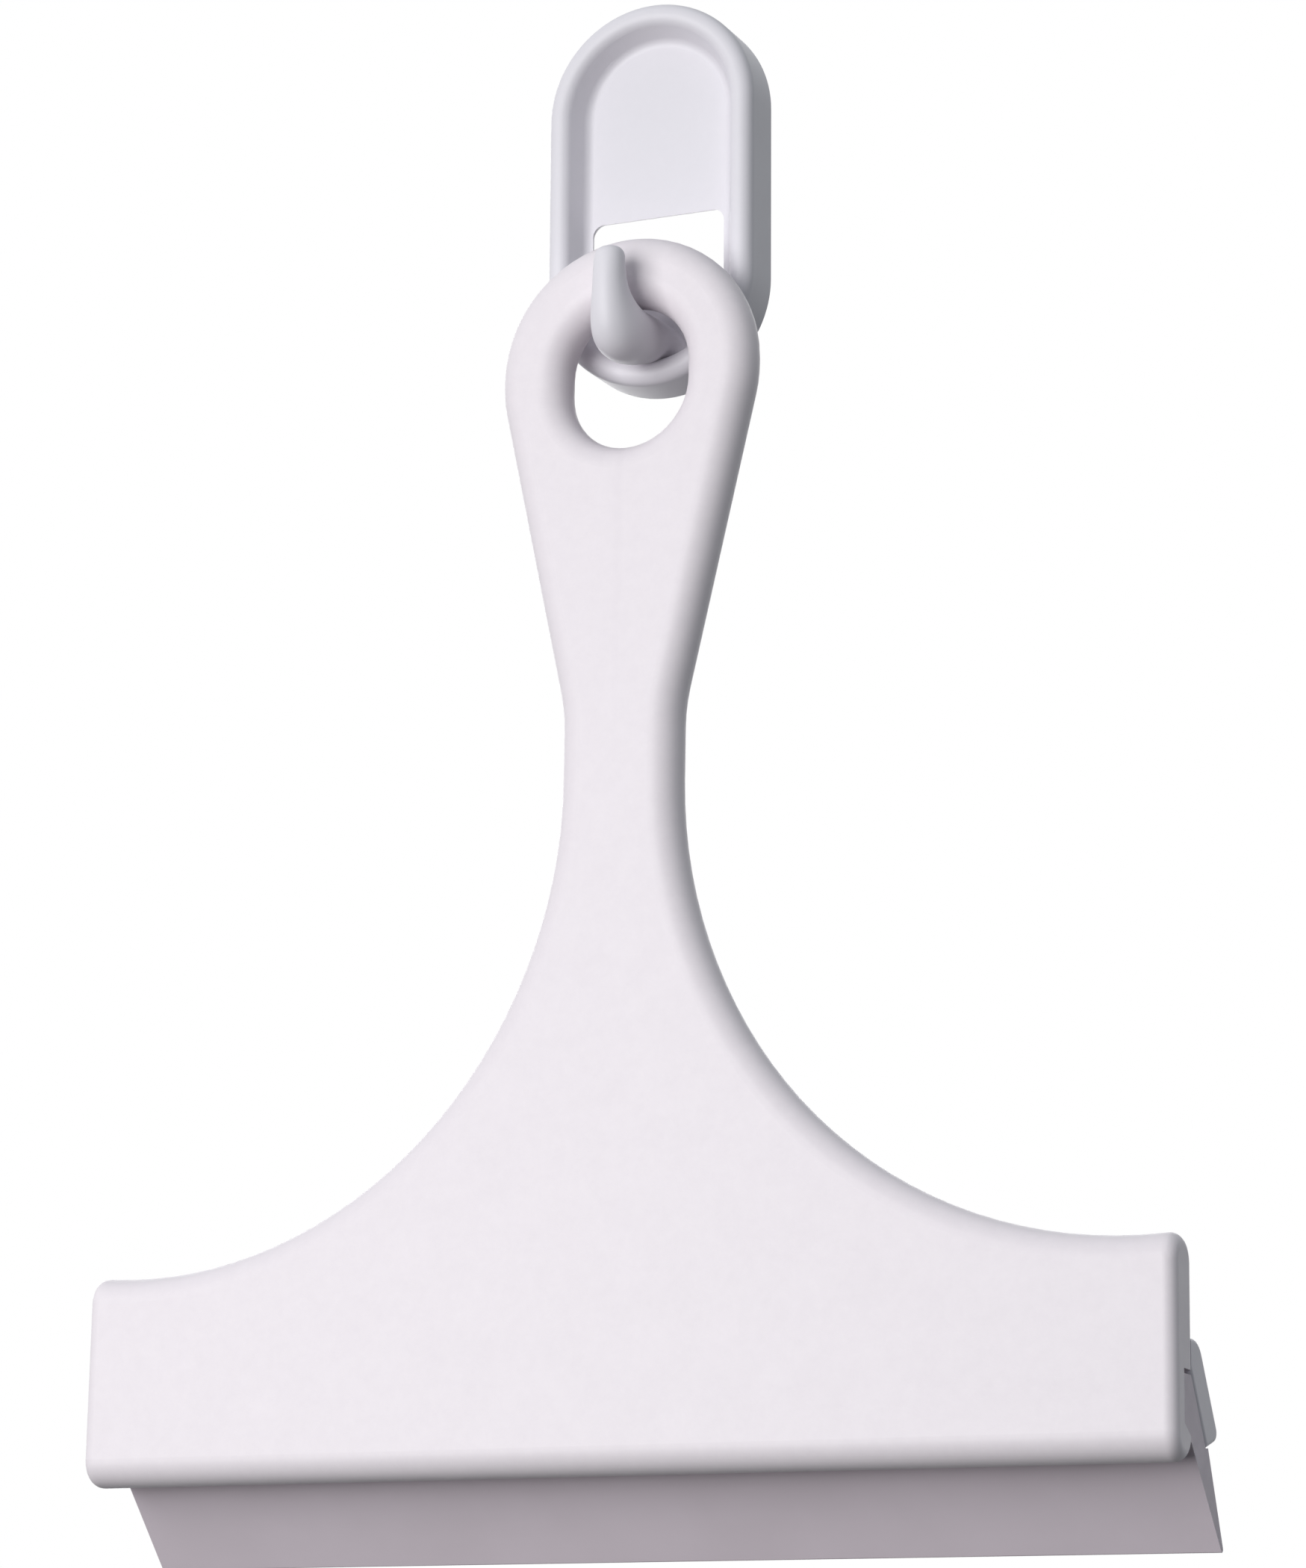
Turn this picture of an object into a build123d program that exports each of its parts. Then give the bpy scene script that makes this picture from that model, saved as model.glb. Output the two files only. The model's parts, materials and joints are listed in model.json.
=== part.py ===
from build123d import *
import os
from math import asin, atan2, cos, degrees, hypot, radians, sin, tan

# Window squeegee hanging on its adhesive wall hook, in millimetres.
# The wall is the plane y = 0 with +Y into it, +Z is up, and the origin is the
# middle of the adhesive pad's back. The squeegee is drawn upright in a frame of
# its own, front face at y = 0 and lowest edge at z = 0, and then hung on the hook.

# Body: a flat T with rounded edges and a hanging eye
head_width = 189.0
head_height = 34.5
body_thickness = 9.0
edge_flat = 0.2
end_round = 2.0
neck_width = 20.9
neck_top = 125.0
neck_blend = 30.0
sweep_radius = 80.0
foot_radius = 75.8
foot_angle = 56.0
eye_height = 183.6
eye_radius = 22.9
eye_stretch = 1.0
hole_radius = 10.9
hole_stretch = 2.8

# Cored back of the body
skin = 2.8
rim_land = 1.0
rib_width = 1.8
rib_drop = 1.2
rib_pitch = 22.0
smallest_cell = 12.0
rail_height = 6.8

# Blade groove in the back of the head
wall = 4.2
roof_height = 14.1
lip_height = 3.2
lip_rise = 2.6

# Jaw that closes the groove from behind
jaw_lap = 5.2
jaw_thickness = 6.6
jaw_angle = 34.0
jaw_face = 13.3
jaw_foot_angle = 17.0
jaw_top_round = 4.5
jaw_foot_round = 1.6
jaw_end_inset = 0.4
jaw_end_round = 0.8

# Pegs of the jaw, pressed into the rail above the groove
peg_count = 4
peg_end_distance = 18.0
peg_radius = 1.5
peg_length = 5.0
peg_clearance = 0.05
peg_end_gap = 0.5

# Soft blade
blade_short = 2.8
blade_end_gap = 0.5
blade_clearance = 0.15
blade_roof_gap = 0.6
blade_angle = 43.6
blade_reach = 12.2
blade_heel = 0.9
lip_thickness = 0.9
lip_round = 0.4

# Wall hook: plate with a raised rim, recessed panel and window
plate_width = 37.8
plate_height = 68.1
plate_depth = 9.5
crest_round = 2.1
mouth_inset = 3.5
mouth_round = 1.9
panel_inset = 5.6
panel_recess = 4.8
panel_thickness = 1.2
panel_cove = 1.6
back_wall = 2.8
window_inset = 1.1
window_top = -3.2
window_bottom = -16.7
window_round = 2.0
window_draft = 15.0

# Finger of the hook: ovals at its root, round its bend and at its tip
oval_points = 12
saddle_height = -22.9
saddle_round = 5.5
finger_gap = 2.5
root_width = 11.0
root_height = 9.0
base_width = 9.2
base_height = 9.9
belly_turn = 30.0
belly_width = 8.4
belly_depth = 10.6
rise_turn = 60.0
rise_width = 6.0
rise_depth = 6.8
upright_turn = 90.0
upright_width = 5.4
upright_depth = 5.0
tip_width = 4.3
tip_depth = 4.2
tip_rise = 2.7
tip_round = 1.9

# Foam pad in the back of the plate
pad_proud = 1.0
pad_clearance = 0.4
pad_window_gap = 3.0

# Hanging place of the squeegee
ring_gap = 1.0
hang_clearance = 0.2
hang_tilt = 1.25

# Sizes that follow
edge_round = (body_thickness - edge_flat) / 2
rim_wall = edge_round + rim_land
plate_front = pad_proud + plate_depth
panel_front = plate_front - panel_recess
panel_back = panel_front - panel_thickness
ring_depth = plate_front + ring_gap + body_thickness / 2
finger_back = ring_depth + body_thickness / 2 + finger_gap
pad_bottom = window_top + pad_window_gap
pad_top = plate_height / 2 - back_wall - pad_clearance
pad_middle = (pad_bottom + pad_top) / 2


def along(point, angle, length):
    """Point reached from a section point, going down and back at an angle from the vertical."""
    return (point[0] + length * sin(radians(angle)), point[1] - length * cos(radians(angle)))


def out(point, angle, length):
    """Point reached from a section point, going back and up at an angle from the horizontal."""
    return (point[0] + length * cos(radians(angle)), point[1] + length * sin(radians(angle)))


def rise(point, slope, y):
    """Point at depth y on the line that climbs backwards from a section point at a slope."""
    return (y, point[1] + (y - point[0]) * tan(radians(slope)))


def polygon(points):
    """Face with straight sides through a row of section points."""
    return make_face(Polyline(*points, close=True))


def prism(section, x_from, x_to):
    """Section in the YZ plane, extruded along X."""
    return Pos(x_from, 0, 0) * extrude(Plane.YZ * section, amount=x_to - x_from)


def body_outline():
    """Half outline of the T, mirrored: two-radius sweep, straight neck and taper tangent to the eye."""
    half_head = head_width / 2
    half_neck = neck_width / 2
    eye_low = eye_height - eye_stretch
    to_eye = hypot(half_neck, eye_low - neck_top)
    taper = atan2(eye_low - neck_top, -half_neck) - asin(eye_radius / to_eye)
    lean = radians(90) - taper
    blend = neck_blend * tan(lean / 2)
    taper_start = (half_neck + blend * cos(taper), neck_top + blend * sin(taper))
    tangent = (eye_radius * cos(lean), eye_low - eye_radius * sin(lean))
    foot_x, foot_z = out((half_neck + sweep_radius, 0), -90 - foot_angle, sweep_radius - foot_radius)
    sweep_z = head_height + foot_radius - foot_z
    past = degrees(asin((half_head - foot_x) / foot_radius))
    foot = CenterArc((foot_x, foot_z + sweep_z), foot_radius, 270 + past, -foot_angle - past)
    half = Curve() + [
        Line((0, 0), (half_head, 0)),
        Line((half_head, 0), foot @ 0),
        foot,
        CenterArc((half_neck + sweep_radius, sweep_z), sweep_radius, 270 - foot_angle, foot_angle - 90),
        Line((half_neck, sweep_z), (half_neck, neck_top - blend)),
        TangentArc((half_neck, neck_top - blend), taper_start, tangent=(0, 1)),
        Line(taper_start, tangent),
        CenterArc((0, eye_low), eye_radius, -degrees(lean), degrees(lean)),
        Line((eye_radius, eye_low), (eye_radius, eye_height)),
        CenterArc((0, eye_height), eye_radius, 0, 90),
    ]
    return make_face(half + mirror(half, about=Plane.YZ))


def core_cells(outline):
    """Cells cored out of the back: the inset outline without its ribs."""
    bottom = roof_height + rail_height
    top = eye_height - eye_stretch - eye_radius
    band = Pos(0, (bottom + top) / 2) * Rectangle(head_width, top - bottom)
    field = offset(outline, amount=-rim_wall) & band
    ribs = Sketch()
    count = int((head_width / 2 - rim_wall) // rib_pitch)
    for index in range(-count, count + 1):
        ribs += Pos(index * rib_pitch, (bottom + top) / 2) * Rectangle(rib_width, top - bottom)
    height = bottom + rib_pitch
    while height < top - rib_pitch / 2:
        ribs += Pos(0, height) * Rectangle(head_width, rib_width)
        height += rib_pitch
    cells = [face for face in (field - ribs).faces() if face.area > smallest_cell]
    return field, Sketch() + cells


def peg_places():
    """Middles of the pegs along the head."""
    pitch = (head_width - 2 * peg_end_distance) / (peg_count - 1)
    return [-head_width / 2 + peg_end_distance + index * pitch for index in range(peg_count)]


def peg(radius, length):
    """Pin that runs forward from the back of the body, at the height of the lap."""
    place = Plane((0, body_thickness, roof_height + jaw_lap / 2), z_dir=(0, -1, 0))
    return extrude(place * Circle(radius), amount=length)


def handle_body():
    outline = body_outline()
    hole = SlotCenterToCenter(hole_stretch, 2 * hole_radius, rotation=90)
    eyed = outline - Pos(0, eye_height - hole_stretch / 2) * hole
    blank = extrude(Plane.XZ * eyed, amount=-body_thickness)
    sides = blank.edges().group_by(Axis.Y)
    inner = head_width / 2 - end_round
    body = fillet([edge for edge in sides[0] + sides[-1] if abs(edge.center().X) < inner], edge_round)
    ends = body.faces().sort_by(Axis.X)
    body = fillet(ends[0].edges() + ends[-1].edges(), end_round)
    field, cells = core_cells(outline)
    back = Plane.XZ.offset(-body_thickness)
    body -= extrude(back * field, amount=rib_drop)
    body -= extrude(back * cells, amount=body_thickness - skin)
    behind = body_thickness + edge_round
    lip = (wall, lip_height + lip_rise)
    groove = [(wall, roof_height), (behind, roof_height), (behind, lip_height),
              (body_thickness, lip_height), lip]
    body -= prism(polygon(groove), -head_width, head_width)
    for x in peg_places():
        body -= Pos(x, 0, 0) * peg(peg_radius + peg_clearance, peg_length + peg_end_gap)
    return body


def jaw_section():
    """Corners of the jaw: root, lap, top, foot at the back, foot at the blade."""
    root = (body_thickness, roof_height)
    lap = (body_thickness, roof_height + jaw_lap)
    mouth = along(root, jaw_angle, jaw_face)
    outer = out(root, jaw_angle, jaw_thickness)
    top = along(outer, jaw_angle, (outer[1] - lap[1]) / cos(radians(jaw_angle)))
    across = jaw_thickness / cos(radians(jaw_foot_angle - jaw_angle))
    foot = out(mouth, jaw_foot_angle, across)
    return root, lap, top, foot, mouth


def rear_jaw():
    section = polygon(jaw_section())
    section = fillet(section.vertices().sort_by(Axis.X)[-1], jaw_foot_round)
    section = fillet(section.vertices().sort_by(Axis.X)[2], jaw_top_round)
    half = head_width / 2 - jaw_end_inset
    jaw = prism(section, -half, half)
    ends = jaw.faces().sort_by(Axis.X)
    rim = ends[0].edges() + ends[-1].edges()
    behind = [edge for edge in rim if edge.center().Y > body_thickness + jaw_end_round]
    lowest = jaw_section()[-1][1] + jaw_end_round
    jaw = fillet([edge for edge in behind if edge.center().Z > lowest], jaw_end_round)
    for x in peg_places():
        jaw += Pos(x, 0, 0) * peg(peg_radius, peg_length)
    return jaw


def blade():
    root, _, _, _, mouth = jaw_section()
    play = blade_clearance / cos(radians(jaw_angle))
    crown = roof_height - blade_roof_gap
    face_top = along((root[0] - play, root[1]), jaw_angle, blade_roof_gap / cos(radians(jaw_angle)))
    shoulder = (mouth[0] - play, mouth[1] - blade_clearance)
    heel = rise(shoulder, jaw_foot_angle, mouth[0] + blade_heel)
    front = (body_thickness + blade_clearance, lip_height)
    reach = (front[1] + blade_reach) / cos(radians(blade_angle))
    lip_front = along(front, blade_angle, reach)
    lip_back = out(lip_front, blade_angle, lip_thickness)
    wall_side = wall + blade_clearance
    section = polygon([(wall_side, crown), face_top, shoulder, heel, lip_back, lip_front, front,
                       (wall_side, lip_height + lip_rise + blade_clearance)])
    section = fillet(section.vertices().sort_by(Axis.Y)[:2], lip_round)
    return prism(section, blade_short - head_width / 2, head_width / 2 - blade_end_gap)


def slot(depth, inset):
    """Plate outline, drawn in by an inset, at a distance from the wall."""
    face = SlotOverall(plate_height - 2 * inset, plate_width - 2 * inset, rotation=90)
    return Plane.XZ.offset(depth) * face


def finger_section(point, turn, width, depth):
    """Oval across the finger, under a point of its saddle line that has turned up by an angle."""
    middle = along(point, -turn, depth / 2)
    across = Plane((0, *middle), x_dir=(1, 0, 0), z_dir=(0, -cos(radians(turn)), sin(radians(turn))))
    around = [radians(360 * index / oval_points) for index in range(oval_points)]
    points = [(width / 2 * cos(angle), depth / 2 * sin(angle)) for angle in around]
    return across * make_face(Spline(*points, periodic=True))


def finger():
    """Hook finger, lofted through ovals: base through the eye, full belly, upright before the eye."""
    bend = (saddle_round - finger_back, saddle_height + saddle_round)
    round_bend = [(0, base_width, base_height), (belly_turn, belly_width, belly_depth),
                  (rise_turn, rise_width, rise_depth), (upright_turn, upright_width, upright_depth)]
    root = [finger_section((-depth, saddle_height), 0, root_width, root_height)
            for depth in (pad_proud, panel_front)]
    turned = [finger_section(along(bend, -turn, saddle_round), turn, width, depth)
              for turn, width, depth in round_bend]
    upright = along(bend, -upright_turn, saddle_round)
    tip = finger_section(out(upright, 180 - upright_turn, tip_rise), upright_turn, tip_width, tip_depth)
    solid = loft([*root, *turned, tip])
    return fillet(solid.faces().sort_by(Axis.Z)[-1].edges(), tip_round)


def wall_hook():
    plate = extrude(slot(pad_proud, 0), amount=plate_depth)
    plate = fillet(plate.faces().sort_by(Axis.Y)[0].edges(), crest_round)
    floor = slot(panel_front, panel_inset)
    mouth = slot(plate_front, mouth_inset)
    plate -= loft([floor.face(), mouth.face()], ruled=True)
    plate = fillet(plate.faces().sort_by(Axis.Y)[0].inner_wires()[0].edges(), mouth_round)
    panel = plate.faces().sort_by_distance((0, -panel_front, 0))[0]
    plate = fillet(panel.edges(), panel_cove)
    plate -= extrude(slot(pad_proud, back_wall), amount=panel_back - pad_proud)
    width = plate_width - 2 * (panel_inset + window_inset)
    opening = Plane.XZ.offset(panel_front) * Pos(0, (window_top + window_bottom) / 2) * RectangleRounded(
        width, window_top - window_bottom, window_round)
    plate -= extrude(opening, amount=panel_recess)
    plate -= extrude(opening, amount=pad_proud - panel_front, taper=-window_draft)
    return plate + finger()


def adhesive_pad():
    inset = back_wall + pad_clearance
    upper = Plane.XZ * Pos(0, pad_bottom + plate_height / 2) * Rectangle(plate_width, plate_height)
    return extrude(slot(0, inset) & upper, amount=panel_back)


to_frame = Pos(0, 0, -pad_middle)
eye_top = Pos(0, -body_thickness / 2, -eye_height - hole_radius)
hang = to_frame * Pos(0, -ring_depth, saddle_height + hang_clearance) * Rot(-hang_tilt, 0, 0) * eye_top

nodes = {
    "handle_body": hang * handle_body(),
    "rear_jaw": hang * rear_jaw(),
    "blade": hang * blade(),
    "wall_hook": to_frame * wall_hook(),
    "adhesive_pad": to_frame * adhesive_pad(),
}
os.makedirs("parts", exist_ok=True)
for name, shape in nodes.items():
    export_step(shape, f"parts/{name}.step")
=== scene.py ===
import bmesh
import bpy
import json
from math import cos, pi, radians, sin
from mathutils import Matrix, Vector


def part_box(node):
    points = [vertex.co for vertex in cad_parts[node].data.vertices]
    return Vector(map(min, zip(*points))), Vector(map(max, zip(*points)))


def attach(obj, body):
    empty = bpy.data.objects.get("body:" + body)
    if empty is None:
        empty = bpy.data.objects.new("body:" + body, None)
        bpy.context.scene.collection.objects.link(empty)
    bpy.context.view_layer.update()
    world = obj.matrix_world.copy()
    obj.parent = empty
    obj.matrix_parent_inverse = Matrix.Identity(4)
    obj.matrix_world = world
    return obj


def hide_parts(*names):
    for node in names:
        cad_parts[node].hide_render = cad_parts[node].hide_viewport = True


# Window squeegee hanging on its adhesive wall hook, in metres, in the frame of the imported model.
# The wall is y = 0, with +Y into it, and +Z is up.

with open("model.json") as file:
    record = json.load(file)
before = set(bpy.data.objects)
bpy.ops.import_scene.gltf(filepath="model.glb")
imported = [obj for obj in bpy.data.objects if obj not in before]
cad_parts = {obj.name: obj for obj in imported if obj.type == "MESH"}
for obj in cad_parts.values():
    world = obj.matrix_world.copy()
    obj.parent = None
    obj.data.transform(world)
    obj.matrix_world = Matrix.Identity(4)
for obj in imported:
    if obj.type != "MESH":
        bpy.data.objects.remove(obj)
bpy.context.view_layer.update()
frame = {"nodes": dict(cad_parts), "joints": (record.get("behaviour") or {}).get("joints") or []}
nodes = frame["nodes"]
joints = {joint["name"]: joint for joint in frame["joints"]}
hanging_axis = Vector(joints["hang_swing"]["pos_m"])

# Photograph: frame and focal length in pixels, and where the camera stands from the hanging axis.
# The sensor's long side is in millimetres.
photo_width = 1749
photo_height = 2100
focal_pixels = 6239
camera_from_axis = Vector((0.3077, -0.6797, -0.2413))
camera_yaw = radians(24.05)
camera_pitch = radians(12.44)
camera_roll = radians(0.40)
camera_sensor = 36.0
camera_near = 0.01

# Floor: how it looks, and the darker shades that it throws back on the object
floor_height = -0.9
floor_size = 14.0
floor_cloud_scale = 3.0
floor_shades = ((0.83, 0.83, 0.835), (0.84, 0.84, 0.845))
floor_bounce_shades = ((0.035, 0.035, 0.037), (0.045, 0.045, 0.047))
floor_roughness = 0.8
floor_glow = 0.25

# Light: lamps face a point below the hanging axis
ambient_colour = (0.87, 0.945, 1.0, 1.0)
ambient_strength = 0.39
surround_colour = (1.0, 1.0, 1.0, 1.0)
key_yaw = radians(17.0)
key_elevation = radians(3.0)
key_power = 8.8
back_power = 4.0
lamp_size = 0.79
lamp_distance = 1.0
lamp_aim = hanging_axis + Vector((0.0, 0.0, -0.0971))

# Shades of each material, dark and light
body_shades = ((0.832, 0.772, 0.812), (0.868, 0.808, 0.846))
jaw_shades = ((0.812, 0.774, 0.822), (0.826, 0.788, 0.836))
hook_shades = ((0.766, 0.74, 0.785), (0.781, 0.755, 0.8))
blade_shades = ((0.756, 0.672, 0.728), (0.788, 0.701, 0.761))
foam_shades = ((0.62, 0.62, 0.61), (0.76, 0.76, 0.75))

# Noise: scales are in features per metre; where most values lie, and where the shades begin and end
noise_range = (0.3, 0.7)
shade_range = (0.35, 0.65)

# Moulded plastic: shallow sinks, mottled colour, fine grain and an uneven gloss
body_roughness = 0.48
jaw_roughness = 0.5
hook_roughness = 0.46
sink_scale = 38.0
sink_height = 0.00012
sink_strength = 0.08
mottle_scale = 420.0
mottle_roughness = 0.75
mottle_range = (0.25, 0.75)
grain_scale = 5200.0
grain_height = 0.00002
grain_strength = 0.35
gloss_scale = 120.0
gloss_change = 0.02

# Weld line of the body: it starts at the lower edge of the eye and fades down the neck
weld_top = hanging_axis + Vector((0.0, 0.0, -0.0197))
weld_reach = (0.0012, 0.02, 0.06)
weld_depth = 0.3

# Blade: clouds in the colour, lines drawn along its length, and fine grain
blade_cloud_scale = 60.0
blade_line_scale = 900.0
blade_line_stretch = (0.02, 1.0, 1.0)
blade_line_height = 0.00003
blade_grain_scale = 4200.0
blade_grain_height = 0.00002
blade_relief_strength = 0.3
blade_roughness = (0.5, 0.62)
blade_specular = 0.3

# Foam: small cells
cell_scale = 1600.0
cell_roughness = 0.6
cell_height = 0.00025
cell_strength = 0.6
foam_roughness = (0.75, 0.95)

# Foam pad: points round its outline, rows through its thickness, how far its two faces draw in
pad_arc_points = 40
pad_corner_points = 6
pad_corner_round = 0.0012
pad_rows = 9
pad_draw_in = 0.0005


class Shader:
    """Node tree of one material, with short calls that add a node and link its inputs."""

    def __init__(self, name):
        self.material = bpy.data.materials.new(name)
        self.material.use_nodes = True
        self.tree = self.material.node_tree
        self.bsdf = self.tree.nodes["Principled BSDF"]
        self.place = self.tree.nodes.new("ShaderNodeTexCoord").outputs["Object"]

    def link(self, source, target):
        self.tree.links.new(source, target)

    def noise(self, scale, detail, roughness=0.5, stretch=None):
        """Noise over the object's own space, which may be stretched along an axis."""
        node = self.tree.nodes.new("ShaderNodeTexNoise")
        node.inputs["Scale"].default_value = scale
        node.inputs["Detail"].default_value = detail
        node.inputs["Roughness"].default_value = roughness
        where = self.place
        if stretch:
            mapping = self.tree.nodes.new("ShaderNodeMapping")
            mapping.inputs["Scale"].default_value = stretch
            self.link(where, mapping.inputs["Vector"])
            where = mapping.outputs["Vector"]
        self.link(where, node.inputs["Vector"])
        return node.outputs["Fac"]

    def shade(self, value, shades, over=shade_range):
        """Colour that goes from a dark to a light shade as a value goes over a range."""
        node = self.tree.nodes.new("ShaderNodeValToRGB")
        for element, position, colour in zip(node.color_ramp.elements, over, shades):
            element.position = position
            element.color = (*colour, 1.0)
        self.link(value, node.inputs["Fac"])
        return node.outputs["Color"]

    def span(self, value, low, high):
        """Value of a noise spread over a range."""
        node = self.tree.nodes.new("ShaderNodeMapRange")
        node.inputs["From Min"].default_value = noise_range[0]
        node.inputs["From Max"].default_value = noise_range[1]
        node.inputs["To Min"].default_value = low
        node.inputs["To Max"].default_value = high
        self.link(value, node.inputs["Value"])
        return node.outputs["Result"]

    def lowered(self, value, mask, depth):
        """Value that is less by a depth where a mask is 1."""
        node = self.tree.nodes.new("ShaderNodeMath")
        node.operation = "MULTIPLY_ADD"
        self.link(mask, node.inputs[0])
        node.inputs[1].default_value = -depth
        self.link(value, node.inputs[2])
        return node.outputs["Value"]

    def around(self, place, reach):
        """Mask that is 1 at a place and fades to 0 at a reach along each axis."""
        mapping = self.tree.nodes.new("ShaderNodeMapping")
        mapping.vector_type = "TEXTURE"
        mapping.inputs["Location"].default_value = place
        mapping.inputs["Scale"].default_value = reach
        self.link(self.place, mapping.inputs["Vector"])
        ball = self.tree.nodes.new("ShaderNodeTexGradient")
        ball.gradient_type = "SPHERICAL"
        self.link(mapping.outputs["Vector"], ball.inputs["Vector"])
        return ball.outputs["Fac"]

    def bump(self, value, height, strength, under=None):
        """Bump of a given height in metres, which may lie on top of another bump."""
        node = self.tree.nodes.new("ShaderNodeBump")
        node.inputs["Distance"].default_value = height
        node.inputs["Strength"].default_value = strength
        self.link(value, node.inputs["Height"])
        if under:
            self.link(under, node.inputs["Normal"])
        return node.outputs["Normal"]

    def surface(self, colour, roughness, normal):
        """Links the three sockets that vary over the surface."""
        self.link(colour, self.bsdf.inputs["Base Color"])
        self.link(roughness, self.bsdf.inputs["Roughness"])
        self.link(normal, self.bsdf.inputs["Normal"])


def moulded(name, shades, roughness, welded=False):
    """Moulded plastic, with the weld line below the eye if it is welded there."""
    shader = Shader(name)
    tone = shader.noise(mottle_scale, detail=4.0, roughness=mottle_roughness)
    if welded:
        tone = shader.lowered(tone, shader.around(weld_top, weld_reach), weld_depth)
    gloss = shader.noise(gloss_scale, detail=3.0)
    sink = shader.bump(shader.noise(sink_scale, detail=4.0), sink_height, sink_strength)
    grain = shader.bump(shader.noise(grain_scale, detail=2.0), grain_height, grain_strength, under=sink)
    shader.surface(shader.shade(tone, shades, mottle_range),
                   shader.span(gloss, roughness - gloss_change, roughness + gloss_change), grain)
    return shader.material


def elastomer(name, shades):
    """Soft blade: cloudy off-white with drawn lines along its length."""
    shader = Shader(name)
    cloud = shader.noise(blade_cloud_scale, detail=4.0)
    lines = shader.noise(blade_line_scale, detail=2.0, stretch=blade_line_stretch)
    drawn = shader.bump(lines, blade_line_height, blade_relief_strength)
    grain = shader.bump(shader.noise(blade_grain_scale, detail=2.0), blade_grain_height,
                        blade_relief_strength, under=drawn)
    shader.surface(shader.shade(cloud, shades), shader.span(lines, *blade_roughness), grain)
    shader.bsdf.inputs["Specular IOR Level"].default_value = blade_specular
    return shader.material


def foam(name, shades):
    """Closed-cell foam: small pits in a pale grey."""
    shader = Shader(name)
    cells = shader.noise(cell_scale, detail=3.0, roughness=cell_roughness)
    pits = shader.bump(cells, cell_height, cell_strength)
    shader.surface(shader.shade(cells, shades), shader.span(cells, *foam_roughness), pits)
    return shader.material


def dress(node, material):
    """Puts a material on every slot of a CAD node."""
    for slot in nodes[node].material_slots:
        slot.material = material


def arc(x, z, radius, start, turn, count):
    """Points of an arc about a centre in the wall's plane."""
    angles = (start + turn * index / (count - 1) for index in range(count))
    return [(x + radius * cos(angle), z + radius * sin(angle)) for angle in angles]


def pad_outline(low, high):
    """Points round the pad in the wall's plane: two rounded lower corners and a half-round top."""
    half = (high.x - low.x) / 2
    corner_z = low.z + pad_corner_round
    right = arc(high.x - pad_corner_round, corner_z, pad_corner_round, -pi / 2, pi / 2, pad_corner_points)
    top = arc(low.x + half, high.z - half, half, 0.0, pi, pad_arc_points)
    left = arc(low.x + pad_corner_round, corner_z, pad_corner_round, -pi, pi / 2, pad_corner_points)
    return right + top + left


def foam_pad(material):
    """Die-cut foam pad, flat on the wall and on the plate, its sides bulged by the press between them."""
    low, high = (Vector(corner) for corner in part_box("adhesive_pad"))
    outline = pad_outline(low, high)
    middle = (low + high) / 2
    half = (high - low) / 2
    mesh = bmesh.new()
    rows = []
    for row in range(pad_rows):
        through = row / (pad_rows - 1)
        inset = pad_draw_in * (2 * through - 1) ** 2
        across = 1 - inset / half.x
        upright = 1 - inset / half.z
        y = low.y + (high.y - low.y) * through
        rows.append([])
        for x, z in outline:
            point = (middle.x + (x - middle.x) * across, y, middle.z + (z - middle.z) * upright)
            rows[-1].append(mesh.verts.new(point))
    count = len(outline)
    for near, far in zip(rows, rows[1:]):
        for index in range(count):
            after = (index + 1) % count
            side = mesh.faces.new((near[index], near[after], far[after], far[index]))
            side.smooth = True
    mesh.faces.new(rows[0][::-1])
    mesh.faces.new(rows[-1])
    bmesh.ops.recalc_face_normals(mesh, faces=mesh.faces)
    data = bpy.data.meshes.new("foam_pad")
    mesh.to_mesh(data)
    mesh.free()
    data.materials.append(material)
    pad = bpy.data.objects.new("foam_pad", data)
    bpy.context.scene.collection.objects.link(pad)
    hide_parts("adhesive_pad")
    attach(pad, "hook")


def by_sight(tree, unseen, seen):
    """Mix of two shaders: one for diffuse rays, the other for what is seen, also in gloss or glass."""
    path = tree.nodes.new("ShaderNodeLightPath")
    factor = path.outputs["Is Camera Ray"]
    for ray in ("Is Glossy Ray", "Is Transmission Ray"):
        either = tree.nodes.new("ShaderNodeMath")
        either.operation = "MAXIMUM"
        tree.links.new(factor, either.inputs[0])
        tree.links.new(path.outputs[ray], either.inputs[1])
        factor = either.outputs["Value"]
    mix = tree.nodes.new("ShaderNodeMixShader")
    tree.links.new(factor, mix.inputs["Fac"])
    tree.links.new(unseen, mix.inputs[1])
    tree.links.new(seen, mix.inputs[2])
    return mix.outputs["Shader"]


def floor():
    """Pale floor that throws little light back on the object."""
    bpy.ops.mesh.primitive_plane_add(size=floor_size, location=(0, 0, floor_height))
    plane = bpy.context.object
    plane.name = "floor"
    shader = Shader("floor_paint")
    cloud = shader.noise(floor_cloud_scale, detail=3.0)
    shader.link(shader.shade(cloud, floor_shades), shader.bsdf.inputs["Base Color"])
    shader.bsdf.inputs["Roughness"].default_value = floor_roughness
    shader.bsdf.inputs["Emission Strength"].default_value = floor_glow
    bounce = shader.tree.nodes.new("ShaderNodeBsdfDiffuse")
    shader.link(shader.shade(cloud, floor_bounce_shades), bounce.inputs["Color"])
    paint = by_sight(shader.tree, bounce.outputs["BSDF"], shader.bsdf.outputs["BSDF"])
    shader.link(paint, shader.tree.nodes["Material Output"].inputs["Surface"])
    plane.data.materials.append(shader.material)


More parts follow.
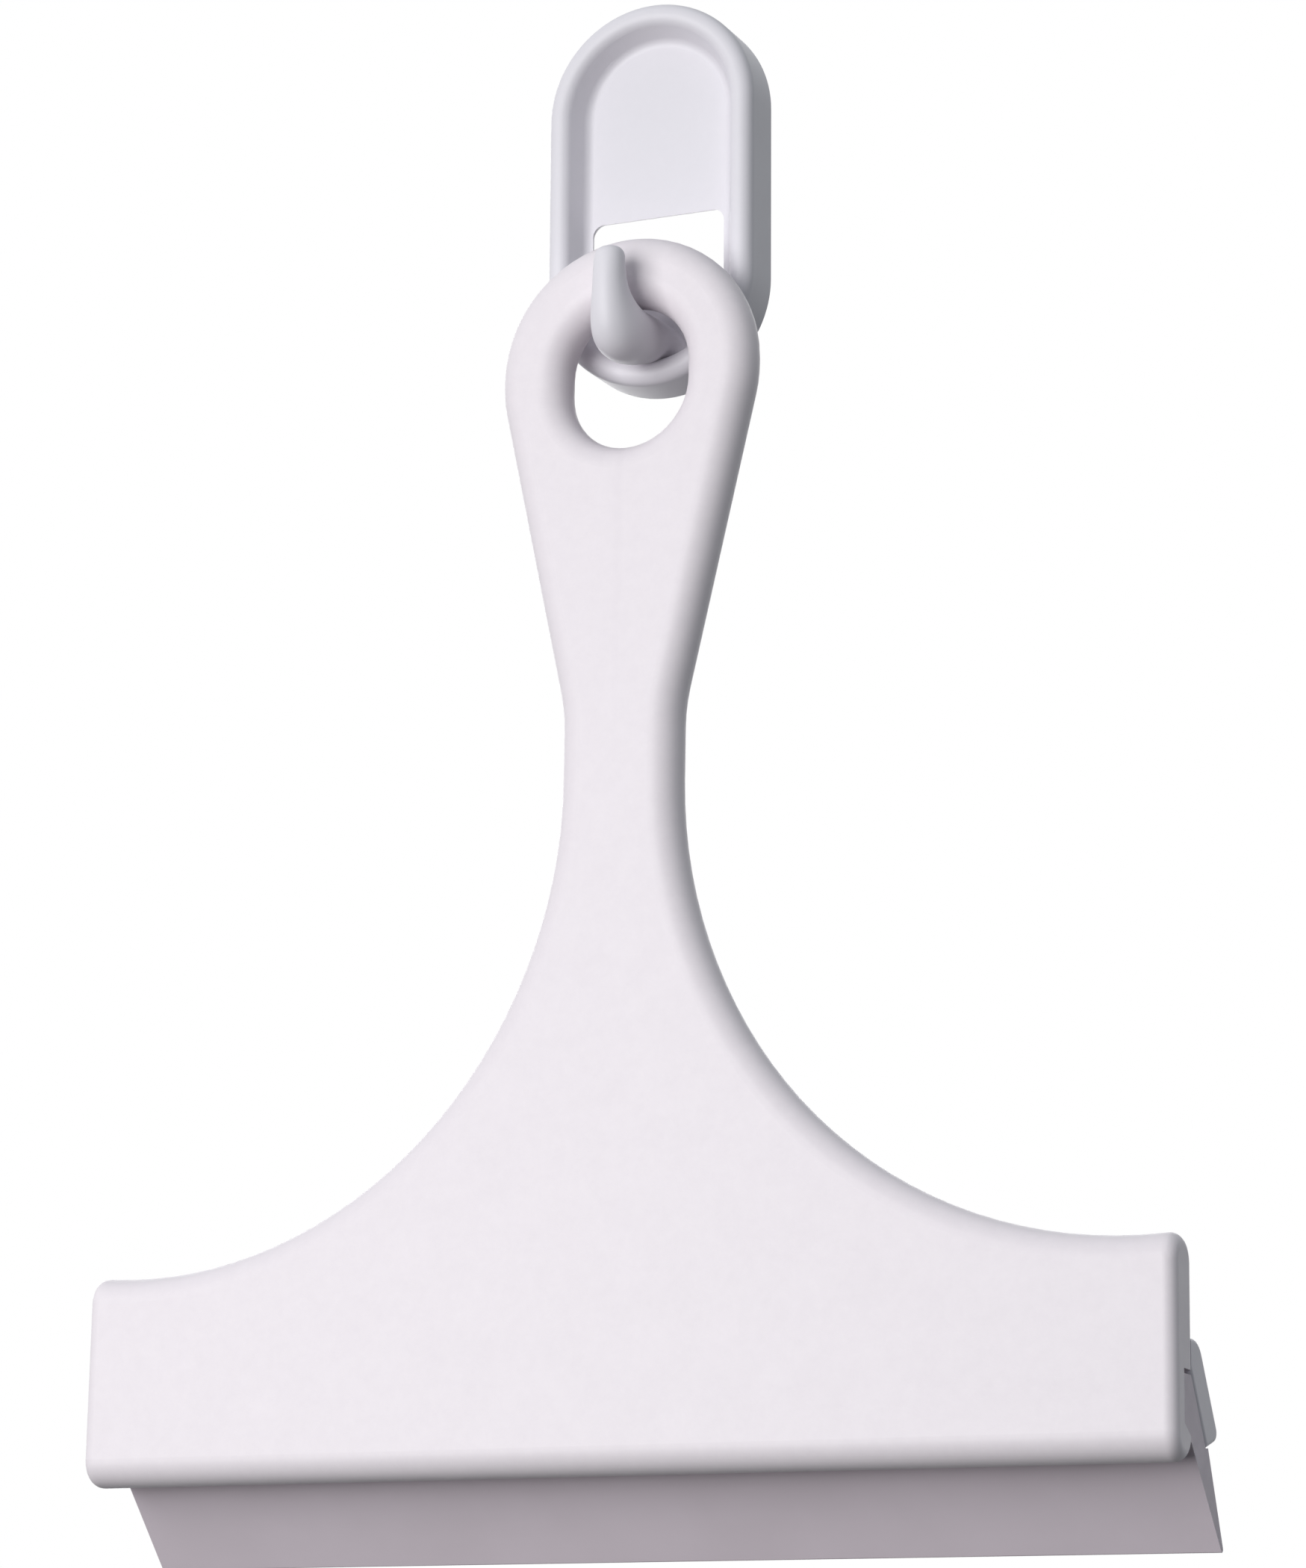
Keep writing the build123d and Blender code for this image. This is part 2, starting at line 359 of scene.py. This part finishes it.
def surround():
    """World that lights the object softly and shows as white."""
    world = bpy.data.worlds.new("surround")
    world.use_nodes = True
    tree = world.node_tree
    tree.nodes.clear()
    ambient = tree.nodes.new("ShaderNodeBackground")
    ambient.inputs["Color"].default_value = ambient_colour
    ambient.inputs["Strength"].default_value = ambient_strength
    white = tree.nodes.new("ShaderNodeBackground")
    white.inputs["Color"].default_value = surround_colour
    sky = by_sight(tree, ambient.outputs["Background"], white.outputs["Background"])
    output = tree.nodes.new("ShaderNodeOutputWorld")
    tree.links.new(sky, output.inputs["Surface"])
    bpy.context.scene.world = world


def heading(yaw, elevation):
    """Unit vector at a yaw to the left of straight out from the wall, and at an elevation."""
    return Vector((-sin(yaw) * cos(elevation), -cos(yaw) * cos(elevation), sin(elevation)))


def soft_lamp(name, towards, power):
    """Large square lamp that stands in a direction from the object and faces it."""
    light = bpy.data.lights.new(name, "AREA")
    light.size = lamp_size
    light.energy = power
    lamp = bpy.data.objects.new(name, light)
    lamp.location = lamp_aim + towards * lamp_distance
    lamp.rotation_euler = (-towards).to_track_quat("-Z", "Y").to_euler()
    lamp.visible_camera = False
    bpy.context.scene.collection.objects.link(lamp)


def photograph(forward):
    """Camera at the photograph's viewing angle, its long side set by the sensor."""
    level = forward.cross(Vector((0, 0, 1))).normalized()
    above = level.cross(forward)
    right = level * cos(camera_roll) + above * sin(camera_roll)
    up = right.cross(forward)
    data = bpy.data.cameras.new("camera")
    data.sensor_width = camera_sensor
    data.lens = focal_pixels * camera_sensor / max(photo_width, photo_height)
    data.clip_start = camera_near
    camera = bpy.data.objects.new("camera", data)
    camera.matrix_world = Matrix((right, up, -forward)).transposed().to_4x4()
    camera.location = hanging_axis + camera_from_axis
    bpy.context.scene.collection.objects.link(camera)
    bpy.context.scene.camera = camera


dress("handle_body", moulded("body_plastic", body_shades, body_roughness, welded=True))
dress("rear_jaw", moulded("jaw_plastic", jaw_shades, jaw_roughness))
dress("wall_hook", moulded("hook_plastic", hook_shades, hook_roughness))
dress("blade", elastomer("blade_rubber", blade_shades))
foam_pad(foam("pad_foam", foam_shades))

# The back lamp stands in line with the camera, so it lights mostly what the photograph doesn't show
camera_forward = heading(pi - camera_yaw, camera_pitch)
floor()
surround()
soft_lamp("key", heading(key_yaw, key_elevation), key_power)
soft_lamp("back", camera_forward, back_power)
photograph(camera_forward)
bpy.context.scene.view_settings.view_transform = "Standard"
